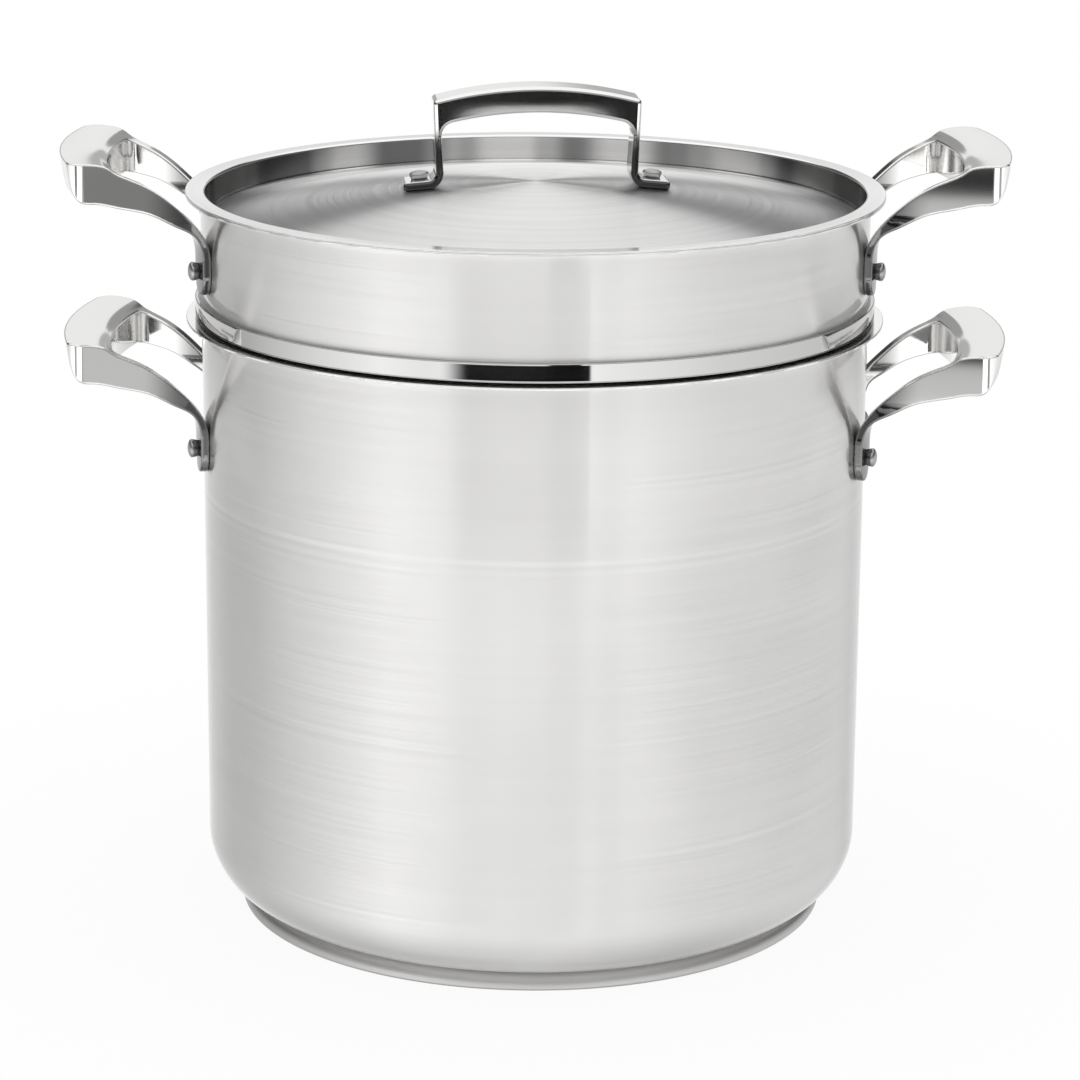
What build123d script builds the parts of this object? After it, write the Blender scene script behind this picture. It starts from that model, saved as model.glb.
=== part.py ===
"""A double boiler: a tall pot, an insert that hangs in its mouth, and a lid that drops into the insert.

The origin is the centre of the underside of the pot. +Z points up and the pot's handles lie along X.
All lengths are millimetres and all angles are degrees.
"""
import os
from math import asin, cos, degrees, radians, sin, sqrt

from build123d import *

# Sheet metal of the two vessels and the lid
vessel_wall = 1.0
lid_wall = 0.8
wall_radius = 140.0
rim_bend = 0.2

# Pot, whose rim flares out from the wall
pot_rim_height = 256.6
pot_rim_reach = 6.4
pot_corner_radius = 28.0

# Sandwich base under the pot, set in from the wall
base_inset = 14.4
base_cap_wall = 0.8
base_cap_corner = 1.5
core_thickness = 4.0

# Insert: a collar that stands on the pot's rim and a vessel, set in from the wall, that hangs from it
collar_band_height = 43.4
insert_rim_reach = 6.1
insert_vessel_inset = 5.0
insert_vessel_depth = 158.0
insert_corner_radius = 22.0
shoulder_rise = 5.5
shoulder_drop = 1.1
shoulder_bend = 2.5
# The weld between vessel and collar, as a share of the ring's height that covers it
weld_share = 0.85

# Seat ring round the foot of the insert's collar
seat_ring_thickness = 2.6
seat_ring_height = 8.8
seat_ring_lower_round = 1.6
seat_ring_upper_round = 0.3

# Lid
lid_side_clearance = 0.4
lid_recess_depth = 12.4
lid_gutter_width = 11.0
lid_gutter_bend = 3.0
lid_flange_bend = 0.4
lid_crown_rise = 15.2

# Cast loop handles: reaches measured from the wall and heights from the axis of their rivets
opening_reach = 37.8
grip_thickness = 19.4
grip_top = 47.0
grip_depth = 16.8
grip_corner_radius = 6.0
grip_lower_round = 8.5
grip_end_lean = 1.1
opening_corner_radius = 4.0
arm_width = 5.4
arm_offset = 3.4
foot_angle = 13.8
foot_thickness = 3.4
foot_width = 17.5
foot_drop = 10.0
foot_plate_top = 5.0
flare_bottom = 7.0
flare_top = 25.0
neck_height = 16.5
neck_reach = 3.2
neck_thickness = 4.6
edge_round = 0.7
# Places along the arm as shares of its reach from the wall and of the grip's height
arm_top_shares = [(0.37, 0.6), (0.73, 0.805), (1.0, 0.905)]
arm_under_shares = [(1.0, 0.6), (0.63, 0.525), (0.35, 0.41)]

# Where the side handles' rivets go: below the pot's rim, and up the insert's collar above its ring
pot_rivet_drop = 52.8
insert_rivet_share = 0.35

# Insert and lid can turn on their seats: they stand turned this far round from the pot's handles
insert_turn = 3.5
lid_turn = 6.5

# Side-handle rivets
shank_radius = 2.5
shank_clearance = 0.05
rivet_neck_radius = 3.3
rivet_head_radius = 3.9
rivet_head_height = 4.4
head_side_share = 0.6
tail_radius = 4.6
tail_height = 1.4

# Lid handle, with heights measured from the lid's gutter
bow_half_span = 43.4
bow_width = 18.0
bow_shoulder_height = 50.2
bow_rise = 5.6
bow_thickness = 10.8
bow_shoulder_round = 2.4
bow_inner_round = 6.0
bow_edge_round = 1.7
leg_thickness = 3.2
leg_bend = 3.4
leg_root_reach = 6.6
lid_foot_reach = 7.4
foot_bedding = 0.15
lid_foot_thickness = 3.4
lid_foot_corner = 2.0
lid_edge_round = 1.3
lid_rivet_offset = 5.0
lid_rivet_head_radius = 4.1
lid_rivet_neck_radius = 3.4
lid_rivet_head_height = 3.4

# Cuts run past the metal by this much
overrun = 5.0

# Values that follow from the sizes above
shell_bottom = base_cap_wall + core_thickness
insert_bottom = pot_rim_height - insert_vessel_depth
shoulder_bottom = pot_rim_height - shoulder_drop
seat_ring_top = pot_rim_height + seat_ring_height
insert_rim_height = seat_ring_top + collar_band_height
inner_radius = wall_radius - vessel_wall
pot_rim_radius = wall_radius + pot_rim_reach
insert_rim_radius = wall_radius + insert_rim_reach
insert_vessel_radius = wall_radius - insert_vessel_inset
seat_ring_radius = wall_radius + seat_ring_thickness
base_radius = wall_radius - base_inset
foot_face_radius = wall_radius + foot_thickness
grip_inner_radius = wall_radius + opening_reach
grip_outer_radius = grip_inner_radius + grip_thickness
hole_radius = shank_radius + shank_clearance
lid_rivet_reach = bow_half_span + lid_rivet_offset

os.makedirs("parts", exist_ok=True)


def save(piece, label):
    """Name a finished piece and write it to its own file."""
    piece.part.label = label
    export_step(piece.part, f"parts/{label}.step")


def outward(angle):
    """The level direction that points away from the pot's axis at this angle."""
    return Vector(cos(radians(angle)), sin(radians(angle)), 0)


def end_on_plane(angle, distance):
    """Upright plane facing outwards at this angle and distance: x runs round the pot, y runs up."""
    around = (-sin(radians(angle)), cos(radians(angle)), 0)
    return Plane(origin=outward(angle) * distance, x_dir=around, z_dir=outward(angle))


def side_on_plane(angle):
    """Upright plane through the pot's axis at this angle: x runs outwards, y runs up."""
    across = (sin(radians(angle)), -cos(radians(angle)), 0)
    return Plane(origin=(0, 0, 0), x_dir=outward(angle), z_dir=across)


def cap_radius(half_width, rise):
    """Radius of the arc that rises this much over this half width, level at its top."""
    return (half_width**2 + rise**2) / (2 * rise)


# Filled outline of the pot, used to shape the parts pressed on from below
with BuildPart() as pot_outside:
    with BuildSketch(Plane.XZ):
        with BuildLine():
            FilletPolyline(
                (0, shell_bottom),
                (wall_radius, shell_bottom),
                (wall_radius, pot_rim_height),
                radius=[pot_corner_radius],
            )
            Polyline((wall_radius, pot_rim_height), (0, pot_rim_height), (0, shell_bottom))
        make_face()
    revolve(axis=Axis.Z)

# Holes for one side handle's two rivets, kept as a tool that cuts walls and feet alike
with BuildPart() as shank_holes:
    for angle in (foot_angle, -foot_angle):
        with BuildSketch(end_on_plane(angle, inner_radius - overrun)):
            Circle(hole_radius)
        extrude(amount=vessel_wall + foot_thickness + 2 * overrun)


def handle_places(rivet_height, turn):
    """Where the left and the right handle of one vessel stand, at this rivet height and turn."""
    left = Location((0, 0, rivet_height), (0, 0, 180 + turn))
    right = Location((0, 0, rivet_height), (0, 0, turn))
    return {"left": left, "right": right}


pot_places = handle_places(pot_rim_height - pot_rivet_drop, 0)
insert_places = handle_places(seat_ring_top + insert_rivet_share * collar_band_height, insert_turn)
lid_place = Location((0, 0, 0), (0, 0, lid_turn))

# Pot shell: outer face from the middle of the bottom to the edge of the flared rim
with BuildPart() as pot_shell:
    with BuildSketch(Plane.XZ):
        with BuildLine():
            FilletPolyline(
                (0, shell_bottom),
                (wall_radius, shell_bottom),
                (wall_radius, pot_rim_height - vessel_wall),
                (pot_rim_radius, pot_rim_height - vessel_wall),
                radius=[pot_corner_radius, rim_bend],
            )
            offset(amount=vessel_wall, side=Side.LEFT)
        make_face()
    revolve(axis=Axis.Z)
    for place in pot_places.values():
        with Locations(place):
            add(shank_holes.part, mode=Mode.SUBTRACT)
save(pot_shell, "pot_shell")

# Stainless cap that closes the base, pressed up against the rounded corner of the shell
base_side_top = shell_bottom + pot_corner_radius / 2
with BuildPart() as pot_base_cap:
    with BuildSketch(Plane.XZ):
        with BuildLine():
            FilletPolyline((0, 0), (base_radius, 0), (base_radius, base_side_top), radius=[base_cap_corner])
            offset(amount=base_cap_wall, side=Side.LEFT)
        make_face()
    revolve(axis=Axis.Z)
    add(pot_outside.part, mode=Mode.SUBTRACT)
save(pot_base_cap, "pot_base_cap")

# Aluminium disc that fills the space between cap and shell
core_radius = base_radius - base_cap_wall
with BuildPart() as pot_core_disc:
    with BuildSketch(Plane.XZ):
        with BuildLine():
            FilletPolyline(
                (0, base_cap_wall),
                (core_radius, base_cap_wall),
                (core_radius, base_side_top),
                radius=[base_cap_corner - base_cap_wall],
            )
            Polyline((core_radius, base_side_top), (0, base_side_top), (0, base_cap_wall))
        make_face()
    revolve(axis=Axis.Z)
    add(pot_outside.part, mode=Mode.SUBTRACT)
save(pot_core_disc, "pot_core_disc")

# Insert vessel: it hangs inside the pot, and its shoulder swells out to the width of the collar
weld_height = pot_rim_height + weld_share * seat_ring_height
with BuildPart() as insert_vessel:
    with BuildSketch(Plane.XZ):
        with BuildLine():
            FilletPolyline(
                (0, insert_bottom),
                (insert_vessel_radius, insert_bottom),
                (insert_vessel_radius, shoulder_bottom),
                (wall_radius, shoulder_bottom + shoulder_rise),
                (wall_radius, weld_height),
                radius=[insert_corner_radius, shoulder_bend, shoulder_bend],
            )
            offset(amount=vessel_wall, side=Side.LEFT)
        make_face()
    revolve(axis=Axis.Z)
save(insert_vessel, "insert_vessel")

# Insert collar: welded end to end onto the vessel, with a flared rim at its top
with BuildPart() as insert_collar:
    with BuildSketch(Plane.XZ):
        with BuildLine():
            FilletPolyline(
                (wall_radius, weld_height),
                (wall_radius, insert_rim_height - vessel_wall),
                (insert_rim_radius, insert_rim_height - vessel_wall),
                radius=[rim_bend],
            )
            offset(amount=vessel_wall, side=Side.LEFT)
        make_face()
    revolve(axis=Axis.Z)
    for place in insert_places.values():
        with Locations(place):
            add(shank_holes.part, mode=Mode.SUBTRACT)
save(insert_collar, "insert_collar")

# Seat ring: it covers the weld, and its flat underside rests on the pot's rim
with BuildPart() as insert_seat_ring:
    with BuildSketch(Plane.XZ):
        with BuildLine():
            FilletPolyline(
                (wall_radius, pot_rim_height),
                (seat_ring_radius, pot_rim_height),
                (seat_ring_radius, seat_ring_top),
                (wall_radius, seat_ring_top),
                radius=[seat_ring_lower_round, seat_ring_upper_round],
            )
            Line((wall_radius, seat_ring_top), (wall_radius, pot_rim_height))
        make_face()
    revolve(axis=Axis.Z)
save(insert_seat_ring, "insert_seat_ring")

# Lid levels: the dome is part of a sphere whose centre lies on the pot's axis
lid_outer_radius = inner_radius - lid_side_clearance
gutter_height = insert_rim_height + lid_wall - lid_recess_depth
gutter_underside = gutter_height - lid_wall
dome_radius = lid_outer_radius - lid_gutter_width
dome_under_radius = cap_radius(dome_radius, lid_crown_rise)
dome_top_radius = dome_under_radius + lid_wall
dome_centre_height = gutter_underside + lid_crown_rise - dome_under_radius

# Holes for the lid handle's rivets, square to the dome where they pass through it
lid_rivet_tilt = degrees(asin(lid_rivet_reach / dome_top_radius))


def lid_rivet_plane(side):
    """Plane on the dome's top under one rivet of the lid handle; side is 1 or -1."""
    up_and_out = Vector(side * sin(radians(lid_rivet_tilt)), 0, cos(radians(lid_rivet_tilt)))
    return Plane(
        origin=Vector(0, 0, dome_centre_height) + up_and_out * dome_top_radius,
        x_dir=(0, 1, 0),
        z_dir=up_and_out,
    )


with BuildPart() as lid_shank_holes:
    for side in (1, -1):
        with BuildSketch(lid_rivet_plane(side).offset(-lid_wall - overrun)):
            Circle(hole_radius)
        extrude(amount=lid_wall + lid_foot_thickness + 2 * overrun)

# Lid shell: shallow dome, gutter, upright wall and the flange that lies on the insert's rim
with BuildPart() as lid_shell:
    with BuildSketch(Plane.XZ):
        with BuildLine():
            dome_edge = (dome_radius, gutter_underside)
            dome_crown = (0, gutter_underside + lid_crown_rise)
            RadiusArc(dome_crown, dome_edge, dome_under_radius)
            FilletPolyline(
                dome_edge,
                (lid_outer_radius, gutter_underside),
                (lid_outer_radius, insert_rim_height),
                (insert_rim_radius, insert_rim_height),
                radius=[lid_gutter_bend, lid_flange_bend],
            )
            offset(amount=lid_wall, side=Side.LEFT)
        make_face()
    revolve(axis=Axis.Z)
    with Locations(lid_place):
        add(lid_shank_holes.part, mode=Mode.SUBTRACT)
save(lid_shell, "lid_shell")

# Loop handle: a side view turned about the pot's axis holds the grip, the arms and the feet
grip_bottom = grip_top - grip_depth


def arm_points(shares):
    """Points of the arm's side view from shares of its reach and of the grip's height."""
    return [(wall_radius + reach * opening_reach, height * grip_top) for reach, height in shares]


with BuildPart() as handle_turning:
    with BuildSketch(side_on_plane(180)):
        below_foot = -foot_drop - overrun
        plate_top = (wall_radius, foot_plate_top)
        plate_top_out = (foot_face_radius, foot_plate_top)
        neck = (wall_radius + neck_reach, neck_height)
        neck_out = (wall_radius + neck_reach + neck_thickness, neck_height)
        grip_end_top = (grip_outer_radius, grip_top)
        grip_end_low = (grip_outer_radius - grip_end_lean, grip_bottom + grip_lower_round)
        grip_end_slope = (-grip_end_lean, -grip_lower_round)
        grip_under = (grip_outer_radius - grip_lower_round, grip_bottom)
        with BuildLine():
            Line((wall_radius, below_foot), plate_top)
            Spline(plate_top, neck, *arm_points(arm_top_shares), grip_end_top, tangents=[(0, 1), (1, 0)])
            Spline(grip_end_top, grip_end_low, grip_under, tangents=[grip_end_slope, (-1, 0)])
            Spline(
                grip_under,
                *arm_points(arm_under_shares),
                neck_out,
                plate_top_out,
                tangents=[(-1, 0), (0, -1)],
            )
            Polyline(plate_top_out, (foot_face_radius, below_foot), (wall_radius, below_foot))
        make_face()
    revolve(axis=Axis.Z)


# What is kept of that turning: the grip's outline seen from above, and each arm and foot seen end on
def wedge(side_offset):
    """Corners of a wedge whose sides run along the two feet, shifted apart by this much."""
    reach = 2 * grip_outer_radius
    far_x = reach * cos(radians(foot_angle)) - side_offset * sin(radians(foot_angle))
    far_y = reach * sin(radians(foot_angle)) + side_offset * cos(radians(foot_angle))
    return [(-side_offset / sin(radians(foot_angle)), 0), (far_x, -far_y), (far_x, far_y)]


arm_inner = arm_offset - arm_width / 2
arm_outer = arm_offset + arm_width / 2
foot_side = foot_width / 2
with BuildSketch() as finger_opening:
    Circle(grip_inner_radius)
    with BuildLine():
        Polyline(*wedge(arm_inner), close=True)
    make_face(mode=Mode.INTERSECT)
    fillet(finger_opening.vertices().sort_by(Axis.X)[-2:], radius=opening_corner_radius)

with BuildPart() as handle_limits:
    with BuildSketch() as grip_plan:
        Circle(grip_outer_radius)
        with BuildLine():
            Polyline(*wedge(arm_outer), close=True)
        make_face(mode=Mode.INTERSECT)
        Circle(grip_inner_radius - 2 * opening_corner_radius, mode=Mode.SUBTRACT)
        add(finger_opening.sketch, mode=Mode.SUBTRACT)
        fillet(grip_plan.vertices().sort_by(Axis.X)[-2:], radius=grip_corner_radius)
    extrude(amount=grip_top + overrun)
    for angle, side in ((foot_angle, 1), (-foot_angle, -1)):
        with BuildSketch(end_on_plane(angle, inner_radius)):
            with BuildLine():
                arm_top_in = (side * arm_inner, grip_top + overrun)
                arm_top_out = (side * arm_outer, grip_top + overrun)
                arm_foot_in = (side * arm_inner, flare_top)
                arm_foot_out = (side * arm_outer, flare_top)
                foot_top_in = (-side * foot_side, flare_bottom)
                foot_top_out = (side * foot_side, flare_bottom)
                tongue_in = (-side * foot_side, foot_side - foot_drop)
                tongue_out = (side * foot_side, foot_side - foot_drop)
                Polyline(arm_foot_in, arm_top_in, arm_top_out, arm_foot_out)
                Spline(arm_foot_out, foot_top_out, tangents=[(0, -1), (0, -1)])
                Line(foot_top_out, tongue_out)
                ThreePointArc(tongue_out, (0, -foot_drop), tongue_in)
                Line(tongue_in, foot_top_in)
                Spline(foot_top_in, arm_foot_in, tangents=[(0, 1), (0, 1)])
            make_face()
        extrude(amount=grip_inner_radius + arm_width - inner_radius)

with BuildPart() as side_handle:
    add(handle_turning.part)
    add(handle_limits.part, mode=Mode.INTERSECT)
    fillet(side_handle.edges().sort_by(Axis.Z)[:4], radius=edge_round)
    add(shank_holes.part, mode=Mode.SUBTRACT)

with BuildPart() as pot_handle_left:
    with Locations(pot_places["left"]):
        add(side_handle.part)
save(pot_handle_left, "pot_handle_left")

with BuildPart() as pot_handle_right:
    with Locations(pot_places["right"]):
        add(side_handle.part)
save(pot_handle_right, "pot_handle_right")

with BuildPart() as insert_handle_left:
    with Locations(insert_places["left"]):
        add(side_handle.part)
save(insert_handle_left, "insert_handle_left")

with BuildPart() as insert_handle_right:
    with Locations(insert_places["right"]):
        add(side_handle.part)
save(insert_handle_right, "insert_handle_right")


# Rivets: a low tail set against the wall inside, a shank and a domed head with a drawn-in neck
def rivet(tail_seat, head_seat, neck_radius, head_radius, head_height):
    """An upright rivet whose tail and head sit at the given heights."""
    tail_end = (0, tail_seat - tail_height)
    tail_edge = (tail_radius, tail_seat)
    head_top = head_seat + head_height
    head_edge = (head_radius, head_seat + head_height * head_side_share)
    dome_height = head_height * (1 - head_side_share)
    with BuildPart() as made:
        with BuildSketch(Plane.XZ):
            with BuildLine():
                RadiusArc(tail_end, tail_edge, -cap_radius(tail_radius, tail_height))
                Polyline(
                    tail_edge,
                    (shank_radius, tail_seat),
                    (shank_radius, head_seat),
                    (neck_radius, head_seat),
                    head_edge,
                )
                RadiusArc((0, head_top), head_edge, cap_radius(head_radius, dome_height))
                Line((0, head_top), tail_end)
            make_face()
        revolve(axis=Axis.Z)
    return made.part


side_rivet = rivet(
    tail_seat=sqrt(inner_radius**2 - tail_radius**2),
    head_seat=foot_face_radius,
    neck_radius=rivet_neck_radius,
    head_radius=rivet_head_radius,
    head_height=rivet_head_height,
)
rivet_planes = [end_on_plane(foot_angle, 0), end_on_plane(-foot_angle, 0)]
with BuildPart() as rivet_pair:
    with Locations(rivet_planes):
        add(side_rivet)

with BuildPart() as pot_handle_left_rivets:
    with Locations(pot_places["left"]):
        add(rivet_pair.part)
save(pot_handle_left_rivets, "pot_handle_left_rivets")

with BuildPart() as pot_handle_right_rivets:
    with Locations(pot_places["right"]):
        add(rivet_pair.part)
save(pot_handle_right_rivets, "pot_handle_right_rivets")

with BuildPart() as insert_handle_left_rivets:
    with Locations(insert_places["left"]):
        add(rivet_pair.part)
save(insert_handle_left_rivets, "insert_handle_left_rivets")

with BuildPart() as insert_handle_right_rivets:
    with Locations(insert_places["right"]):
        add(rivet_pair.part)
save(insert_handle_right_rivets, "insert_handle_right_rivets")

# Lid handle: a bow on two upright legs, each bent outwards into a foot that lies on the dome
bow_shoulder_top = gutter_height + bow_shoulder_height
bow_top_radius = cap_radius(bow_half_span, bow_rise)
bow_centre_height = bow_shoulder_top + bow_rise - bow_top_radius
bow_under_radius = bow_top_radius - bow_thickness
leg_inside = bow_half_span - leg_thickness
foot_plane = lid_rivet_plane(1)


def on_foot(reach, height):
    """Side-view point this far out from the rivet's axis and this far above the dome there."""
    return Vector(
        foot_plane.origin.X + reach * foot_plane.z_dir.Z + height * foot_plane.z_dir.X,
        foot_plane.origin.Z - reach * foot_plane.z_dir.X + height * foot_plane.z_dir.Z,
    )


def mirrored_corners(sketch, corner):
    """The sketch's vertex at this corner and the one opposite it across the pot's axis."""
    opposite = Vector(-corner.X, corner.Y)
    return [sketch.vertices().sort_by_distance(point)[0] for point in (corner, opposite)]


def middle_edges(piece):
    """The edges whose middle lies over the lid's centre, lowest first."""
    return piece.edges().filter_by_position(Axis.X, -lid_edge_round, lid_edge_round).sort_by(Axis.Z)


with BuildPart() as bow:
    with BuildSketch(Plane.XZ) as bow_side:
        shoulder = Vector(bow_half_span, bow_shoulder_top)
        under_shoulder = Vector(leg_inside, bow_centre_height + sqrt(bow_under_radius**2 - leg_inside**2))
        leg_root = on_foot(-leg_root_reach, lid_foot_thickness)
        leg_root_inside = on_foot(-leg_root_reach - leg_thickness, -foot_bedding)
        tip_top = on_foot(lid_foot_reach, lid_foot_thickness)
        tip_bottom = on_foot(lid_foot_reach, -foot_bedding)
        with BuildLine():
            RadiusArc((0, bow_shoulder_top + bow_rise), shoulder, bow_top_radius)
            FilletPolyline(shoulder, leg_root, tip_top, radius=[leg_bend])
            Line(tip_top, tip_bottom)
            FilletPolyline(tip_bottom, leg_root_inside, under_shoulder, radius=[leg_bend + leg_thickness])
            RadiusArc(under_shoulder, (0, bow_centre_height + bow_under_radius), -bow_under_radius)
            mirror(about=Plane.YZ)
        make_face()
        fillet(mirrored_corners(bow_side, shoulder), radius=bow_shoulder_round)
        fillet(mirrored_corners(bow_side, under_shoulder), radius=bow_inner_round)
    extrude(amount=bow_width / 2, both=True)
    upright_edges = bow.edges().filter_by(Axis.Y, reverse=True)
    fillet(upright_edges.sort_by(lambda edge: abs(edge.center().X))[-4:], radius=lid_foot_corner)
    fillet(middle_edges(bow)[-2:], radius=bow_edge_round)
    fillet(middle_edges(bow)[:2], radius=lid_edge_round)
    with Locations((0, 0, dome_centre_height)):
        Sphere(dome_top_radius, mode=Mode.SUBTRACT)
    add(lid_shank_holes.part, mode=Mode.SUBTRACT)

with BuildPart() as lid_handle:
    with Locations(lid_place):
        add(bow.part)
save(lid_handle, "lid_handle")

# Lid rivets: their tails sit under the dome and their heads on the feet
lid_rivet = rivet(
    tail_seat=sqrt(dome_under_radius**2 - tail_radius**2) - dome_top_radius,
    head_seat=lid_foot_thickness,
    neck_radius=lid_rivet_neck_radius,
    head_radius=lid_rivet_head_radius,
    head_height=lid_rivet_head_height,
)
with BuildPart() as lid_rivet_pair:
    with Locations(lid_rivet_plane(1), lid_rivet_plane(-1)):
        add(lid_rivet)

with BuildPart() as lid_handle_rivets:
    with Locations(lid_place):
        add(lid_rivet_pair.part)
save(lid_handle_rivets, "lid_handle_rivets")
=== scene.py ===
# %% [markdown]
# # A stainless double boiler
# A tall pot carries an insert vessel in its mouth, and a recessed lid drops into the insert.
# The solids come packed from the CAD model and are loaded as a fixed frame. Everything made
# here sits in that same frame, in metres, with the pot's axis on Z and its handles along X.

# %% Load the frame
import math

import bmesh
import bpy
from mathutils import Matrix, Vector


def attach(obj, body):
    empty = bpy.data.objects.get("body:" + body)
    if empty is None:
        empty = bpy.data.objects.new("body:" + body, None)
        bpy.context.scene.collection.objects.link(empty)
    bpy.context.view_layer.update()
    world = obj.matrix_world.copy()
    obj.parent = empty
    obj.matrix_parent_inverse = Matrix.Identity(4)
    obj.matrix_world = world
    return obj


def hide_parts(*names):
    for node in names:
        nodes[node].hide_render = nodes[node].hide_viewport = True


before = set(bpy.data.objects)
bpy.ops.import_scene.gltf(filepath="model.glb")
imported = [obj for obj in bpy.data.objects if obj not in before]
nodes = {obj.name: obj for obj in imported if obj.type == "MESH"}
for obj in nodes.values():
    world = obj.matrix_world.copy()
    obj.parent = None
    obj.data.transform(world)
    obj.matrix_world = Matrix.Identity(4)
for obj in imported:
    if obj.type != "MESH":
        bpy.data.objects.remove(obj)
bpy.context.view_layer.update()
scene = bpy.context.scene
MM = 0.001

# %% [markdown]
# ## Camera
# A long lens looks slightly down at the pot. Its distance, tilt and lens were worked out from
# the rims, which show as ellipses: their flatness gives the tilt, and the drift of their widths
# gives the distance. The camera is swung a little round the pot's axis, because the handles
# stand a little turned in the picture.

# %% Camera
camera_distance = 1.65505
camera_tilt = math.radians(15.068)
camera_roll = math.radians(0.437)
camera_swing = math.radians(1.5)
camera_target = Vector((0.002914, 0, 0.15686))
lens_per_frame = 3863.2 / 1080

camera_data = bpy.data.cameras.new("camera")
camera_data.sensor_width = 36
camera_data.lens = lens_per_frame * camera_data.sensor_width
camera_data.clip_end = 20
camera = bpy.data.objects.new("camera", camera_data)
scene.collection.objects.link(camera)
back = Vector((0, -math.cos(camera_tilt), math.sin(camera_tilt)))
upright = Matrix.Rotation(math.pi / 2 - camera_tilt, 4, "X") @ Matrix.Rotation(camera_roll, 4, "Z")
placed = Matrix.Translation(camera_target + back * camera_distance) @ upright
camera.matrix_world = Matrix.Rotation(camera_swing, 4, "Z") @ placed
scene.camera = camera
print("camera at", tuple(round(value, 3) for value in camera.matrix_world.translation))

# %% [markdown]
# ## Node helpers
# Every tree below, for a material, the world or a shape, is a small network. These helpers make
# one node, set its plain values and join its inputs, so that each recipe reads from top to
# bottom.


# %% Node helpers
def add_node(tree, kind, inputs=(), **settings):
    """Make one node: settings are its own options, inputs maps sockets to values or links."""
    node = tree.nodes.new(kind)
    for key, value in settings.items():
        setattr(node, key, value)
    for socket, value in dict(inputs).items():
        if isinstance(value, bpy.types.NodeSocket):
            tree.links.new(value, node.inputs[socket])
        else:
            node.inputs[socket].default_value = value
    return node


def arithmetic(tree, operation, *terms):
    """The result of one sum on numbers or links."""
    return add_node(tree, "ShaderNodeMath", dict(enumerate(terms)), operation=operation).outputs[0]


def times(tree, *factors):
    """Several numbers or links multiplied together."""
    product = factors[0]
    for factor in factors[1:]:
        product = arithmetic(tree, "MULTIPLY", product, factor)
    return product


# %% [markdown]
# Most patterns here are one question: has this value passed that limit yet? A soft step answers
# it without a hard edge. Two of them, one up and one down, make a window.


# %% Soft steps
def rise(tree, value, start, end, low=0.0, high=1.0):
    """Go smoothly from low to high while the value goes from start to end."""
    inputs = {0: value, 1: start, 2: end, 3: low, 4: high}
    return add_node(tree, "ShaderNodeMapRange", inputs, interpolation_type="SMOOTHSTEP").outputs[0]


def fall(tree, value, start, end):
    """Go smoothly from one to nought while the value goes from start to end."""
    return rise(tree, value, start, end, 1.0, 0.0)


def window(tree, value, fade_in, fade_out):
    """One between two soft edges and nought outside them."""
    return times(tree, rise(tree, value, *fade_in), fall(tree, value, *fade_out))


def fade_between(tree, share, first, second):
    """Blend two numbers by a share."""
    inputs = {"Factor": share, "A": first, "B": second}
    return add_node(tree, "ShaderNodeMix", inputs, data_type="FLOAT").outputs["Result"]


def ramp(tree, factor, stops):
    """A colour ramp with grey stops given as (place, grey)."""
    node = add_node(tree, "ShaderNodeValToRGB", {0: factor})
    elements = node.color_ramp.elements
    while len(elements) > 1:
        elements.remove(elements[-1])
    elements[0].position = stops[0][0]
    for place, _ in stops[1:]:
        elements.new(place)
    for element, (_, grey) in zip(elements, stops):
        element.color = (grey, grey, grey, 1)
    return node.outputs["Color"]


# %% [markdown]
# ## Studio
# Polished steel shows its surroundings, so the studio is half of its look. It could be built
# from real cards and lamps, but a tent painted in the world by direction is quicker to tune and
# never gets in the camera's way. Azimuth is nought towards the front and grows to the right,
# and elevation is nought at the horizon.

# %% Directions in the tent
world = bpy.data.worlds.new("studio_tent")
world.use_nodes = True
scene.world = world
tree = world.node_tree
tree.nodes.clear()
direction = add_node(tree, "ShaderNodeTexCoord").outputs["Generated"]
side, depth, height = add_node(tree, "ShaderNodeSeparateXYZ", {0: direction}).outputs
toward = times(tree, depth, -1.0)
azimuth = arithmetic(tree, "DEGREES", arithmetic(tree, "ARCTAN2", side, toward))
elevation = arithmetic(tree, "DEGREES", arithmetic(tree, "ARCSINE", height))
print("tent directions from", len(tree.nodes), "nodes")

# %% [markdown]
# Low down the tent is a pale floor. A column of an upright wall shows the floor in one direction
# only, so the floor's light by direction is the wall's shading from left to right. A few round
# values set it: bright in front and brightest just right of the camera, dim at the sides, and a
# little brighter again behind. It also dims straight down, where the pot shades it.

# %% Floor light
floor_by_azimuth = [
    (-180, 1.15), (-150, 0.75), (-130, 0.65), (-110, 0.75), (-50, 1.65),
    (-35, 1.5), (-10, 1.6), (0, 1.5), (13, 1.8), (25, 1.55),
    (50, 1.35), (65, 1.2), (135, 0.9), (150, 0.7), (180, 0.95),
]
floor_scale = 2.2
steep, shallow, steep_share = -65.0, -22.0, 0.45
turn = arithmetic(tree, "DIVIDE", arithmetic(tree, "ADD", azimuth, 180.0), 360.0)
floor_stops = [((angle + 180) / 360, grey / floor_scale) for angle, grey in floor_by_azimuth]
floor_light = times(
    tree, ramp(tree, turn, floor_stops), floor_scale,
    rise(tree, elevation, steep, shallow, steep_share, 1.0))
print("tent floor of", len(floor_by_azimuth), "stops")

# %% [markdown]
# Above the horizon comes a grey strip of room, and then a dark band up to one large soft light
# overhead. The band gives round edges their contrast, and it is paler in front and beside the
# backdrop. The narrow backdrop stands behind the pot, and the lid's dome shows it as a bright
# wedge.

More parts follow.
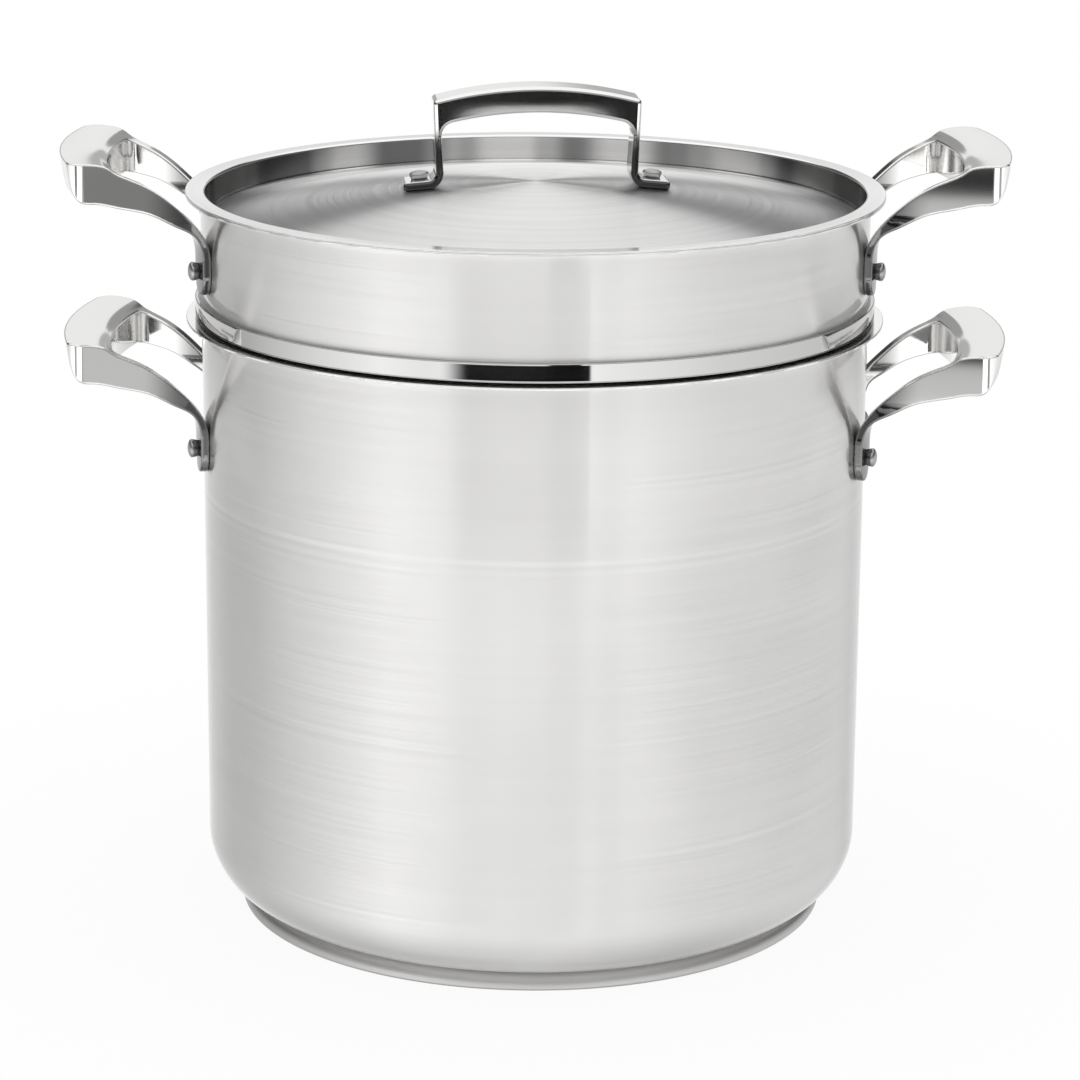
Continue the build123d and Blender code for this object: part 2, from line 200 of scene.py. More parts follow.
# %% Room, backdrop and overhead light
room_light = 0.46
band_light, beside_backdrop_light, front_band_light = 0.05, 0.35, 0.30
backdrop_light = 0.92
overhead_light = 1.12
horizon, band_foot, backdrop_foot, overhead_foot = (-3.0, -1.0), (6.0, 9.0), (6.8, 8.3), (27.0, 34.0)
front_sides, beside_backdrop, backdrop_sides = (25.0, 60.0), (158.0, 163.0), (170.8, 172.4)
camera_azimuth = math.degrees(camera_swing)
off_front = arithmetic(tree, "ABSOLUTE", arithmetic(tree, "SUBTRACT", azimuth, camera_azimuth))

band = rise(tree, off_front, *beside_backdrop, band_light, beside_backdrop_light)
band = fade_between(tree, fall(tree, off_front, *front_sides), band, front_band_light)
room = rise(tree, elevation, *band_foot, room_light, band)
backdrop = times(
    tree, rise(tree, off_front, *backdrop_sides), rise(tree, elevation, *backdrop_foot))
upper = fade_between(tree, backdrop, room, backdrop_light)
tent = fade_between(tree, rise(tree, elevation, *horizon), floor_light, upper)
tent = fade_between(tree, rise(tree, elevation, *overhead_foot), tent, overhead_light)
print("lights: room", room_light, "backdrop", backdrop_light, "overhead", overhead_light)

# %% [markdown]
# Four cards give the polished pieces something to show. The seat ring shows a dark strip low in
# front, where the paper ends, and the lid's handle shows a black flag just above that strip. The
# sides of the left handles show a card that is pale on one side and dark on the other. Those of
# the right handles show a drape, black above and grey below.


# %% Cards in the tent
def card(sides, heights):
    """The share of one card, from its soft edges in azimuth and in elevation."""
    return times(tree, window(tree, azimuth, *sides), window(tree, elevation, *heights))


black, dark_grey, pale_grey = 0.01, 0.22, 0.60
dark_strip = card(sides=((-30.0, -20.0), (19.5, 20.5)), heights=((-16.0, -14.5), (-11.4, -10.6)))
bow_flag = card(sides=((5.0, 7.5), (16.5, 17.5)), heights=((-12.0, -11.0), (-4.5, -3.0)))
tent = fade_between(tree, arithmetic(tree, "MAXIMUM", dark_strip, bow_flag), tent, black)

grey_card = card(sides=((16.5, 16.9), (30.0, 32.0)), heights=((-7.0, -6.0), (7.0, 9.0)))
grey_card_light = rise(tree, azimuth, 22.0, 23.5, pale_grey, dark_grey)
tent = fade_between(tree, grey_card, tent, grey_card_light)

drape = card(sides=((-31.0, -29.0), (-11.0, -9.0)), heights=((-4.0, -2.5), (7.0, 9.0)))
drape_edge = rise(tree, azimuth, -20.0, -17.0, 3.4, 3.2)
above_edge = arithmetic(tree, "SUBTRACT", elevation, drape_edge)
drape_light = rise(tree, above_edge, -0.4, 0.4, pale_grey, black)
tent = fade_between(tree, drape, tent, drape_light)
print("tent complete:", len(tree.nodes), "nodes")

# %% [markdown]
# The camera itself sees plain white, and only the other rays see the tent.

# %% World
path = add_node(tree, "ShaderNodeLightPath")
seen = fade_between(tree, path.outputs["Is Camera Ray"], tent, 1.0)
background = add_node(tree, "ShaderNodeBackground", {"Color": (1, 1, 1, 1), "Strength": seen})
add_node(tree, "ShaderNodeOutputWorld", {"Surface": background.outputs[0]})
scene.view_settings.view_transform = "Standard"
print("view transform:", scene.view_settings.view_transform)

# %% [markdown]
# ## Floor
# The pot stands on white paper that runs out of sight. Only the camera needs it, for the faint
# shadow at the foot: the metal already sees a floor in the tent, so every other ray passes
# through. Away from the pot the paper glows to plain white.

# %% Floor
floor_radius = 1.15
floor_mesh = bpy.data.meshes.new("floor")
disc = bmesh.new()
bmesh.ops.create_circle(disc, cap_ends=True, segments=96, radius=floor_radius)
disc.to_mesh(floor_mesh)
disc.free()
floor = bpy.data.objects.new("floor", floor_mesh)
scene.collection.objects.link(floor)

shadow_share = 0.08
shadow_reach, glow_reach = 0.12, 0.45
floor_paint = bpy.data.materials.new("floor_paper")
floor_paint.use_nodes = True
tree = floor_paint.node_tree
tree.nodes.clear()
place = add_node(tree, "ShaderNodeTexCoord").outputs["Object"]
reach = add_node(tree, "ShaderNodeVectorMath", {0: place}, operation="LENGTH").outputs["Value"]
glow_share = rise(tree, reach, shadow_reach, glow_reach, 1 - shadow_share, 1.0)
paper = add_node(tree, "ShaderNodeBsdfDiffuse", {"Color": (0.9, 0.9, 0.9, 1)}).outputs[0]
glow = add_node(tree, "ShaderNodeEmission", {"Color": (1, 1, 1, 1), "Strength": 1.0}).outputs[0]
lit = add_node(tree, "ShaderNodeMixShader", {0: glow_share, 1: paper, 2: glow}).outputs[0]
clear = add_node(tree, "ShaderNodeBsdfTransparent").outputs[0]
path = add_node(tree, "ShaderNodeLightPath")
mixed = add_node(tree, "ShaderNodeMixShader", {0: path.outputs["Is Camera Ray"], 1: clear, 2: lit})
add_node(tree, "ShaderNodeOutputMaterial", {"Surface": mixed.outputs[0]})
floor_mesh.materials.append(floor_paint)
print("floor radius", floor_radius)

# %% [markdown]
# ## Where a point is
# The finishes follow the shape: lines run round the axis, the flange is polished, and the necks
# get painted shade. So each recipe asks how far a point is from the axis and how high it lies.
# Noise is what breaks up every finish, and lines are noise drawn out round the axis. On a wall
# they are stacked by height and on the lid by reach, so height plus reach serves both.


# %% Places and noise
def places(tree):
    """Object coordinates of a point, alone and together, and its reach from the axis."""
    spot = {"place": add_node(tree, "ShaderNodeTexCoord").outputs["Object"]}
    parted = add_node(tree, "ShaderNodeSeparateXYZ", {0: spot["place"]})
    spot["x"], spot["y"], spot["z"] = parted.outputs
    spot["flat"] = add_node(tree, "ShaderNodeCombineXYZ", {0: spot["x"], 1: spot["y"]}).outputs[0]
    length = add_node(tree, "ShaderNodeVectorMath", {0: spot["flat"]}, operation="LENGTH")
    spot["reach"] = length.outputs["Value"]
    return spot


def noise(tree, place, scale, detail):
    """Plain noise at a scale."""
    inputs = {"Vector": place, "Scale": scale, "Detail": detail}
    return add_node(tree, "ShaderNodeTexNoise", inputs).outputs[0]


def line_noise(tree, spot, along_scale, across_scale, detail):
    """Noise drawn out into lines round the axis."""
    across = arithmetic(tree, "ADD", spot["reach"], spot["z"])
    drawn_out = add_node(tree, "ShaderNodeCombineXYZ", {
        0: times(tree, spot["x"], along_scale),
        1: times(tree, spot["y"], along_scale),
        2: times(tree, across, across_scale)}).outputs[0]
    return noise(tree, drawn_out, 1.0, detail)


def fine_lines(tree, spot):
    """The finest lines that the brush leaves."""
    return line_noise(tree, spot, 7.0, 3200.0, 3.0)


def clouds(tree, spot):
    """Slow patches a few centimetres across."""
    return noise(tree, spot["place"], 16.0, 3.0)


# %% [markdown]
# ## Bare steel
# All the steels share one recipe. The fine lines vary the gloss, fine and broad lines together
# vary the colour, and clouds vary the gloss a little more. A polished piece has the same recipe
# with its lines left at nought.


# %% Steel
noise_low, noise_high = 0.3, 0.7
fine_share, broad_share = 0.45, 0.55
cloud_gloss = 0.012


def steel(name, color, roughness, line_gloss=0.0, line_shade=0.0):
    """Bare steel with lines round the Z axis and clouds in its gloss."""
    material = bpy.data.materials.new(name)
    material.use_nodes = True
    tree = material.node_tree
    shader = tree.nodes["Principled BSDF"]
    shader.inputs["Metallic"].default_value = 1.0
    spot = places(tree)
    fine = fine_lines(tree, spot)
    broad = line_noise(tree, spot, 3.0, 260.0, 2.0)
    line_part = rise(
        tree, fine, noise_low, noise_high, roughness - line_gloss, roughness + line_gloss)
    cloud_part = rise(
        tree, clouds(tree, spot), noise_low, noise_high, -cloud_gloss, cloud_gloss)
    gloss = arithmetic(tree, "ADD", line_part, cloud_part)
    tree.links.new(gloss, shader.inputs["Roughness"])
    lines = arithmetic(
        tree, "ADD", times(tree, fine, fine_share), times(tree, broad, broad_share))
    shaded = tuple(channel * (1 - line_shade) for channel in color) + (1,)
    inputs = {0: rise(tree, lines, noise_low, noise_high), 6: shaded, 7: tuple(color) + (1,)}
    tint = add_node(tree, "ShaderNodeMix", inputs, data_type="RGBA")
    tree.links.new(tint.outputs[2], shader.inputs["Base Color"])
    return material


# %% [markdown]
# The walls are satin: an abrasive belt has drawn fine lines round them. Such lines smear a
# reflection across themselves and hardly along themselves. Modelling each line is hopeless, so
# the shader's anisotropy does the smearing, with its tangent turned square to the lines.


# %% Brushing and polishing
def brush(material, anisotropic, line_bump):
    """Smear reflections across lines round the axis, and let the light catch the lines."""
    tree = material.node_tree
    shader = tree.nodes["Principled BSDF"]
    shader.inputs["Anisotropic"].default_value = anisotropic
    shader.inputs["Anisotropic Rotation"].default_value = 0.25
    tangent = add_node(tree, "ShaderNodeTangent", direction_type="RADIAL", axis="Z").outputs[0]
    tree.links.new(tangent, shader.inputs["Tangent"])
    line_height = fine_lines(tree, places(tree))
    inputs = {"Height": line_height, "Strength": line_bump, "Distance": 0.02 * MM}
    bump = add_node(tree, "ShaderNodeBump", inputs)
    tree.links.new(bump.outputs[0], shader.inputs["Normal"])


def polish_beyond(material, start, end, polish):
    """Leave only a little roughness beyond a reach in millimetres, as on a flange."""
    tree = material.node_tree
    gloss = tree.nodes["Principled BSDF"].inputs["Roughness"]
    outside = rise(tree, places(tree)["reach"], start * MM, end * MM)
    polished = fade_between(tree, outside, gloss.links[0].from_socket, polish)
    tree.links.new(polished, gloss)


def waves(tree, strength, normal=None):
    """A normal that wavers a little, as hand polishing leaves it."""
    swell = noise(tree, places(tree)["place"], 60.0, 1.0)
    inputs = {"Height": swell, "Strength": strength, "Distance": 0.1 * MM}
    if normal is not None:
        inputs["Normal"] = normal
    return add_node(tree, "ShaderNodeBump", inputs).outputs[0]


# %% [markdown]
# Some places get a colour by shape: the slit under the ring gets painted shade, the lid's upright
# wall gets painted dark reflections, the wall gets painted light that grows towards the top, and
# a drawn wall keeps two pale marks where the forming tool stopped. Each of these blends a colour
# into the steel by a share that follows the shape.


# %% Colour by place
forming_color = (0.96, 0.96, 0.955)
forming_core, forming_edge = 0.4, 1.6
painted_reflection_color = (0.16, 0.16, 0.16)
painted_reflection_shares = (0.25, 0.97)


def blend_color(material, share, color):
    """Mix a flat grey into the steel's colour by a share."""
    tree = material.node_tree
    base = tree.nodes["Principled BSDF"].inputs["Base Color"]
    inputs = {0: share, 6: base.links[0].from_socket, 7: tuple(color) + (1,)}
    mixed = add_node(tree, "ShaderNodeMix", inputs, data_type="RGBA")
    tree.links.new(mixed.outputs[2], base)


def painted_light_upwards(material, low, high, low_share):
    """Painted light: let the steel grow paler from a low height to a high one, in millimetres."""
    tree = material.node_tree
    base = tree.nodes["Principled BSDF"].inputs["Base Color"]
    share = rise(tree, places(tree)["z"], low * MM, high * MM, low_share, 1.0)
    level = add_node(tree, "ShaderNodeCombineXYZ", {0: share, 1: share, 2: share}).outputs[0]
    inputs = {0: 1.0, 6: base.links[0].from_socket, 7: level}
    mixed = add_node(tree, "ShaderNodeMix", inputs, data_type="RGBA", blend_type="MULTIPLY")
    tree.links.new(mixed.outputs[2], base)


def forming_marks(material, marks):
    """Faint pale rings, given as (height in millimetres, strength)."""
    tree = material.node_tree
    spot = places(tree)
    strength = 0.0
    for mark_height, mark_share in marks:
        off_mark = arithmetic(tree, "SUBTRACT", spot["z"], mark_height * MM)
        off_mark = arithmetic(tree, "ABSOLUTE", off_mark)
        ring = rise(tree, off_mark, forming_core * MM, forming_edge * MM, mark_share, 0.0)
        strength = arithmetic(tree, "MAXIMUM", strength, ring)
    strength = times(tree, strength, rise(tree, clouds(tree, spot), 0.35, 0.65, 0.3, 1.0))
    blend_color(material, strength, forming_color)


def painted_dark_reflections(material, near, far, low, high):
    """Painted dark reflections: patches beyond the reach from near to far, below the height from low to
    high.
    """
    tree = material.node_tree
    spot = places(tree)
    reflection_patches = rise(tree, noise(tree, spot["flat"], 22.0, 2.0), 0.42, 0.6, *painted_reflection_shares)
    beyond = rise(tree, spot["reach"], near * MM, far * MM)
    below = fall(tree, spot["z"], low * MM, high * MM)
    blend_color(material, times(tree, beyond, below, reflection_patches), painted_reflection_color)


# %% [markdown]
# ## Finishes of the sheet pieces
# The walls also get a thin clear sheen on top of the brushing. Real satin steel turns into a
# mirror where it is seen almost edge on, and there the walls show their handles.

# %% Sheet finishes
wall_steel = steel("wall_steel", (0.91, 0.905, 0.895), 0.36, line_gloss=0.03, line_shade=0.02)
brush(wall_steel, 1.0, 0.05)
polish_beyond(wall_steel, 140.6, 141.2, 0.12)
# Painted light: the wall's colour grows paler towards the top.
painted_light_upwards(wall_steel, 20.0, 290.0, 0.93)
forming_marks(wall_steel, [(184.5, 1.0), (180.6, 0.5)])
wall_shader = wall_steel.node_tree.nodes["Principled BSDF"]
wall_shader.inputs["Coat Weight"].default_value = 1.0
wall_shader.inputs["Coat Roughness"].default_value = 0.04

lid_steel = steel("lid_steel", (0.93, 0.925, 0.92), 0.48, line_gloss=0.06, line_shade=0.12)
brush(lid_steel, 1.0, 0.25)
polish_beyond(lid_steel, 137.0, 137.6, 0.14)
# Painted dark reflections on the lid's upright inner wall.
painted_dark_reflections(lid_steel, 136.5, 137.4, 308.2, 309.2)

base_steel = steel("base_steel", (0.60, 0.595, 0.585), 0.42, line_gloss=0.04, line_shade=0.1)
brush(base_steel, 0.6, 0.2)

ring_steel = steel("ring_steel", (0.52, 0.518, 0.515), 0.04)
ring_tree = ring_steel.node_tree
ring_waves = waves(ring_tree, 0.02)
ring_tree.links.new(ring_waves, ring_tree.nodes["Principled BSDF"].inputs["Normal"])
# Painted shade: the ring's faces in the slit under it are painted near black.
gap_shade_share = fall(ring_tree, places(ring_tree)["z"], 257.2 * MM, 257.5 * MM)
blend_color(ring_steel, gap_shade_share, (0.02, 0.02, 0.02))

# Painted shade: the rivets' colour is set darker than the other steel; their satin finish is in the
# roughness.
rivet_steel = steel("rivet_steel", (0.42, 0.42, 0.425), 0.34)
core_aluminium = steel("core_aluminium", (0.80, 0.80, 0.80), 0.5)
for finish in (wall_steel, lid_steel, base_steel, ring_steel, rivet_steel, core_aluminium):
    print("finish:", finish.name, len(finish.node_tree.nodes), "nodes")

# %% [markdown]
# ## Cast handles
# The handles are cast and polished. A casting's sides lean back a little, so that it leaves its
# mould, and polishing wheels round every edge. The CAD solids are plainer than that, so the
# finish adds both. First it has to know which face it is on: an outer side, the end of the
# grip, a top, or a foot near the wall.


# %% Faces of a side handle
foot_angle = 13.8
foot_reach, neck_reach, end_reach = (146.0, 150.0), (150.0, 168.0), (189.5, 191.0)
side_offset = (3.0, 4.0)
side_look, upright_look, top_look = (0.994, 0.998), (0.25, 0.5), (0.3, 0.55)


def handle_faces(tree, vessel_turn):
    """Shares of the kinds of face of a side handle, with the vessel's turn undone."""
    coordinates = add_node(tree, "ShaderNodeTexCoord").outputs
    undo = (0, 0, -math.radians(vessel_turn))
    at = add_node(tree, "ShaderNodeMapping", {"Vector": coordinates["Object"], "Rotation": undo})
    look = add_node(tree, "ShaderNodeMapping", {"Vector": coordinates["Normal"], "Rotation": undo})
    x, y, z = add_node(tree, "ShaderNodeSeparateXYZ", {0: at.outputs[0]}).outputs
    look_x, look_y, look_z = add_node(tree, "ShaderNodeSeparateXYZ", {0: look.outputs[0]}).outputs
    flat = add_node(tree, "ShaderNodeCombineXYZ", {0: x, 1: y}).outputs[0]
    reach = add_node(tree, "ShaderNodeVectorMath", {0: flat}, operation="LENGTH").outputs["Value"]
    sine, cosine = math.sin(math.radians(foot_angle)), math.cos(math.radians(foot_angle))

    def mirrored(value, factor):
        return times(tree, arithmetic(tree, "ABSOLUTE", value), factor)

    outside_foot_line = arithmetic(tree, "SUBTRACT", mirrored(y, cosine), mirrored(x, sine))
    looks_sideways = arithmetic(tree, "ADD", mirrored(look_x, sine), mirrored(look_y, cosine))
    side = times(tree, rise(tree, outside_foot_line, side_offset[0] * MM, side_offset[1] * MM),
                 rise(tree, looks_sideways, *side_look))
    near_wall = fall(tree, reach, foot_reach[0] * MM, foot_reach[1] * MM)
    side = arithmetic(tree, "MAXIMUM", side, near_wall)
    upright = fall(tree, arithmetic(tree, "ABSOLUTE", look_z), *upright_look)
    at_end = rise(tree, reach, end_reach[0] * MM, end_reach[1] * MM)
    return {
        "z": z, "reach": reach,
        "side": times(tree, side, upright),
        "end": times(tree, at_end, upright, arithmetic(tree, "SUBTRACT", 1.0, side)),
        "not_top": fall(tree, look_z, *top_look),
    }


# %% [markdown]
# A bump can lean a whole face: a height that falls steadily as the face rises turns the face's
# normal up, and one that grows turns it down. The sides lean back, more at the top than at the
# bottom, and the end of the grip tucks under. The bevel reading rounds the edges. The necks get
# painted shade: their faces that are not tops are darkened in colour.


# %% Cast steel
cast_color = (0.84, 0.835, 0.825)
cast_roughness = 0.09
edge_round = 0.8
side_height = 21.0
bottom_lean, top_lean = 0.095, 0.15
end_undercut = 0.16
neck_painted_shade = 0.85


def leaned(tree, slope_height, normal):
    """A normal that is leaned by the slope of a height in metres."""
    inputs = {"Height": slope_height, "Distance": 1.0, "Normal": normal}
    return add_node(tree, "ShaderNodeBump", inputs).outputs[0]


def normal_between(tree, share, first, second):
    """Blend two normals by a share."""
    inputs = {0: share, 4: first, 5: second}
    return add_node(tree, "ShaderNodeMix", inputs, data_type="VECTOR").outputs[1]


def cast_steel(name, vessel_turn, side_bottom):
    """Polished steel for side handles whose sides begin at a height in millimetres."""
    material = steel(name, cast_color, cast_roughness)
    tree = material.node_tree
    faces = handle_faces(tree, vessel_turn)
    up = arithmetic(tree, "SUBTRACT", faces["z"], side_bottom * MM)
    above = arithmetic(tree, "MAXIMUM", up, 0.0)
    growth = (top_lean - bottom_lean) / (side_height * MM) / 2
    side_slope = arithmetic(
        tree, "ADD", times(tree, up, -bottom_lean), times(tree, above, above, -growth))
    rounded_edges = add_node(tree, "ShaderNodeBevel", {"Radius": edge_round * MM}, samples=6).outputs[0]
    leaning = leaned(tree, side_slope, rounded_edges)
    normal = normal_between(tree, faces["side"], rounded_edges, leaning)
    tucked = leaned(tree, times(tree, faces["z"], end_undercut), rounded_edges)
    normal = normal_between(tree, faces["end"], normal, tucked)
    # Painted shade: the necks' faces that are not tops are darkened in colour.
    neck = rise(tree, faces["reach"], neck_reach[0] * MM, neck_reach[1] * MM, neck_painted_shade, 0.0)
    blend_color(material, times(tree, neck, faces["not_top"]), (0.12, 0.12, 0.12))
    tree.links.new(waves(tree, 0.05, normal), tree.nodes["Principled BSDF"].inputs["Normal"])
    return material


insert_turn = 3.5
pot_rivet_height = 203.8
insert_rivet_height = 280.59
side_above_rivet = 26.0
pot_handle_steel = cast_steel("pot_handle_steel", 0.0, pot_rivet_height + side_above_rivet)
insert_handle_steel = cast_steel(
    "insert_handle_steel", insert_turn, insert_rivet_height + side_above_rivet)
print("cast finishes:", pot_handle_steel.name, insert_handle_steel.name)

# %% [markdown]
# The lid's bow is polished too. Its legs and feet get painted shade: their front faces are
# darkened in colour by a share that follows the face's direction and its height.

# %% Legs of the lid's bow
leg_top, leg_painted_shade = (330.0, 338.0), 0.94
front_look = (0.35, 0.6)
lid_handle_steel = steel("lid_handle_steel", cast_color, 0.08)
tree = lid_handle_steel.node_tree
shader = tree.nodes["Principled BSDF"]
coordinates = add_node(tree, "ShaderNodeTexCoord").outputs
look_y = add_node(tree, "ShaderNodeSeparateXYZ", {0: coordinates["Normal"]}).outputs[1]
along, _, height = add_node(tree, "ShaderNodeSeparateXYZ", {0: coordinates["Object"]}).outputs
facing = rise(tree, arithmetic(tree, "ABSOLUTE", look_y), *front_look)
# Painted shade: the front faces of the legs and feet are darkened in colour.
painted_leg_shade = times(
    tree, facing, rise(tree, height, leg_top[0] * MM, leg_top[1] * MM, leg_painted_shade, 0.0))
blend_color(lid_handle_steel, painted_leg_shade, (0.04, 0.04, 0.04))
print("legs darker up to", leg_top[1], "mm")

# %% [markdown]
# Under the middle of the grip the front face rolls under, so that it catches the pale floor and
# goes from black to grey. The grip's heights are read from the CAD solid.

# %% Rolled edge of the lid's bow
roll_share, roll_span = 0.6, (12.0, 40.0)
roll_undercut, roll_dulling = 0.13, 0.2
bow_vertices = nodes["lid_handle"].data.vertices
grip_heights = [vertex.co.z for vertex in bow_vertices if abs(vertex.co.x) < 20 * MM]
grip_low, grip_high = min(grip_heights), max(grip_heights)
roll_top = grip_low + roll_share * (grip_high - grip_low)
off_middle = arithmetic(tree, "ABSOLUTE", along)
mid_span = fall(tree, off_middle, roll_span[0] * MM, roll_span[1] * MM)
roll = times(tree, fall(tree, height, grip_low, roll_top), mid_span, facing)
wavy = waves(tree, 0.04)
rolled = leaned(tree, times(tree, height, roll_undercut), wavy)
tree.links.new(normal_between(tree, roll, wavy, rolled), shader.inputs["Normal"])
gloss = shader.inputs["Roughness"].links[0].from_socket
softer = arithmetic(tree, "ADD", gloss, times(tree, roll, roll_dulling))
tree.links.new(softer, shader.inputs["Roughness"])
print("lid grip from", round(grip_low, 4), "to", round(grip_high, 4))

# %% [markdown]
# ## Profiles
# Spun and drawn sheet metal is round everywhere, so one side view holds a whole vessel. Each
# profile is a list of corners, in millimetres: how far out, how high, and how round the bend
# is. This helper swaps a corner for an arc and sets a guard point on each side of it, which
# keeps the shading of the flats flat.


# %% Rounded profile
def rounded(corners, guard=0.5, arc_step=12.0):
    """Points along a chain of (out, up, bend) corners, with an arc at each bend."""
    points = []
    for index, (out, up, bend) in enumerate(corners):
        corner = Vector((out, up))
        if bend == 0:
            points.append(corner)
            continue
        to_last = Vector(corners[index - 1][:2]) - corner
        to_next = Vector(corners[index + 1][:2]) - corner
        half = to_last.angle(to_next) / 2
        cut = bend / math.tan(half)
        bisector = (to_last.normalized() + to_next.normalized()).normalized()
        centre = corner + bisector * (bend / math.sin(half))
        start = corner + to_last.normalized() * cut - centre
        end = corner + to_next.normalized() * cut - centre
        sweep = start.angle_signed(end)
        steps = max(3, math.ceil(abs(math.degrees(sweep)) / arc_step))
        guard_before = min(guard, (to_last.length - cut) / 3)
        guard_after = min(guard, (to_next.length - cut) / 3)
        points.append(centre + start + to_last.normalized() * guard_before)
        for step in range(steps + 1):
            points.append(centre + Matrix.Rotation(-sweep * step / steps, 2) @ start)
        points.append(centre + end + to_next.normalized() * guard_after)
    return points


check_points = rounded([(0, 0, 0), (10, 0, 2), (10, 10, 0)])
print("a test corner has", len(check_points), "points, its middle at", tuple(check_points[4]))

# %% [markdown]
# ## A lathe in Geometry Nodes
# Spinning a profile is what the real lathe does, and a node tree does it by rule. A grid has one
# column of points for each step round the axis and one row for each point of the profile. Every
# grid point looks up its profile point, takes its reach and height, and swings out to its own
# angle. Merging by distance then closes the seam and the poles.


# %% Lathe inputs
def group_input(tree, name, kind, value=None):
    """Add a named input to a geometry node group and give it a default."""
    socket = tree.interface.new_socket(name=name, in_out="INPUT", socket_type=kind)
    if value is not None:
        socket.default_value = value
    return socket.identifier


lathe = bpy.data.node_groups.new("lathe", "GeometryNodeTree")
lathe_inputs = {
    "Profile": group_input(lathe, "Profile", "NodeSocketGeometry"),
    "Segments": group_input(lathe, "Segments", "NodeSocketInt", 64),
    "Finish": group_input(lathe, "Finish", "NodeSocketMaterial"),
}
lathe.interface.new_socket(name="Turned", in_out="OUTPUT", socket_type="NodeSocketGeometry")
given = add_node(lathe, "NodeGroupInput").outputs
print("lathe inputs:", list(lathe_inputs))

# %% [markdown]
# First the grid, and for each of its points the column and row that it stands in.

# %% Lathe grid
profile_size = add_node(
    lathe, "GeometryNodeAttributeDomainSize", {0: given["Profile"]}, component="MESH")
rows = profile_size.outputs["Point Count"]
columns = arithmetic(lathe, "ADD", given["Segments"], 1.0)
grid_inputs = {"Vertices X": columns, "Vertices Y": rows}
grid = add_node(lathe, "GeometryNodeMeshGrid", grid_inputs).outputs["Mesh"]
index = add_node(lathe, "GeometryNodeInputIndex").outputs[0]
middle = arithmetic(lathe, "ADD", index, 0.5)
column = arithmetic(lathe, "FLOOR", arithmetic(lathe, "DIVIDE", middle, rows))
row = arithmetic(lathe, "SUBTRACT", index, times(lathe, column, rows))
print("lathe grid:", len(lathe.nodes), "nodes so far")

# %% [markdown]
# Then each point takes its place from the profile, swings round, and the whole is closed.

# %% Lathe swing
spot = add_node(lathe, "GeometryNodeInputPosition").outputs[0]
lookup = add_node(
    lathe, "GeometryNodeSampleIndex", {"Geometry": given["Profile"], "Index": row},
    data_type="FLOAT_VECTOR", domain="POINT")
vector_in = [socket for socket in lookup.inputs if socket.name == "Value" and socket.enabled][0]
lathe.links.new(spot, vector_in)
found = [socket for socket in lookup.outputs if socket.enabled][0]
out, across, up = add_node(lathe, "ShaderNodeSeparateXYZ", {0: found}).outputs
swing = times(lathe, arithmetic(lathe, "DIVIDE", column, given["Segments"]), 2 * math.pi)
turned_spot = add_node(lathe, "ShaderNodeCombineXYZ", {
    0: times(lathe, out, arithmetic(lathe, "COSINE", swing)),
    1: times(lathe, out, arithmetic(lathe, "SINE", swing)),
    2: up}).outputs[0]
shaped = add_node(lathe, "GeometryNodeSetPosition", {"Geometry": grid, "Position": turned_spot})
merge_inputs = {"Geometry": shaped.outputs[0], "Distance": 0.002 * MM}
closed = add_node(lathe, "GeometryNodeMergeByDistance", merge_inputs).outputs[0]
smooth = add_node(lathe, "GeometryNodeSetShadeSmooth", {"Geometry": closed}).outputs[0]
realized = add_node(lathe, "GeometryNodeRealizeInstances", {"Geometry": smooth}).outputs[0]
finish_inputs = {"Geometry": realized, "Material": given["Finish"]}
painted = add_node(lathe, "GeometryNodeSetMaterial", finish_inputs).outputs[0]
add_node(lathe, "NodeGroupOutput", {0: painted})
print("lathe tree:", len(lathe.nodes), "nodes")

# %% [markdown]
# The tree is only a recipe. This helper feeds it a profile, and keeps the plain mesh it makes.


# %% Turn on the lathe
def plain_mesh(name, source_mesh, tree, settings, finish):
    """Run a node tree over a mesh and return a new object that holds the result as plain mesh."""
    carrier = bpy.data.objects.new(name + "_carrier", source_mesh)
    scene.collection.objects.link(carrier)
    modifier = carrier.modifiers.new("shape", "NODES")
    modifier.node_group = tree
    for identifier, value in settings.items():
        modifier[identifier] = value
    seen_now = carrier.evaluated_get(bpy.context.evaluated_depsgraph_get())
    mesh = bpy.data.meshes.new_from_object(seen_now)
    carrier.modifiers.remove(modifier)
    bpy.data.objects.remove(carrier)
    mesh.name = name
    mesh.materials.clear()
    mesh.materials.append(finish)
    piece = bpy.data.objects.new(name, mesh)
    scene.collection.objects.link(piece)
    return piece


def turned(name, profile, segments, finish):
    """A piece spun from a profile of points in millimetres."""
    line = bpy.data.meshes.new(name + "_profile")
    line.from_pydata([(out * MM, 0, up * MM) for out, up in profile], [], [])
    settings = {lathe_inputs["Segments"]: segments, lathe_inputs["Finish"]: finish}
    piece = plain_mesh(name, line, lathe, settings, finish)
    print(name, len(profile), "profile points,", len(piece.data.polygons), "faces")
    return piece


def closed_and_outward(piece):
    """How many edges are open, and the volume in litres, which is positive if faces point out."""
    shape = bmesh.new()
    shape.from_mesh(piece.data)
    open_edges = sum(not edge.is_manifold for edge in shape.edges)
    litres = shape.calc_volume(signed=True) * 1000
    shape.free()
    return open_edges, round(litres, 4)


# %% [markdown]
# ## Pot
# The pot is drawn from one sheet: a flat bottom with a large round corner, a straight wall, and
# a rim that flares out flat. The profile goes out under the bottom, up outside and over the rim,
# then back down inside, so that every face points away from the metal.

# %% Pot
wall_reach = 140.0
sheet = 1.0
pot_floor = 4.8
pot_corner = 28.0
pot_rim_reach = 146.4
pot_rim_top = 256.6
edge_wear = 0.3
round_steps = 320

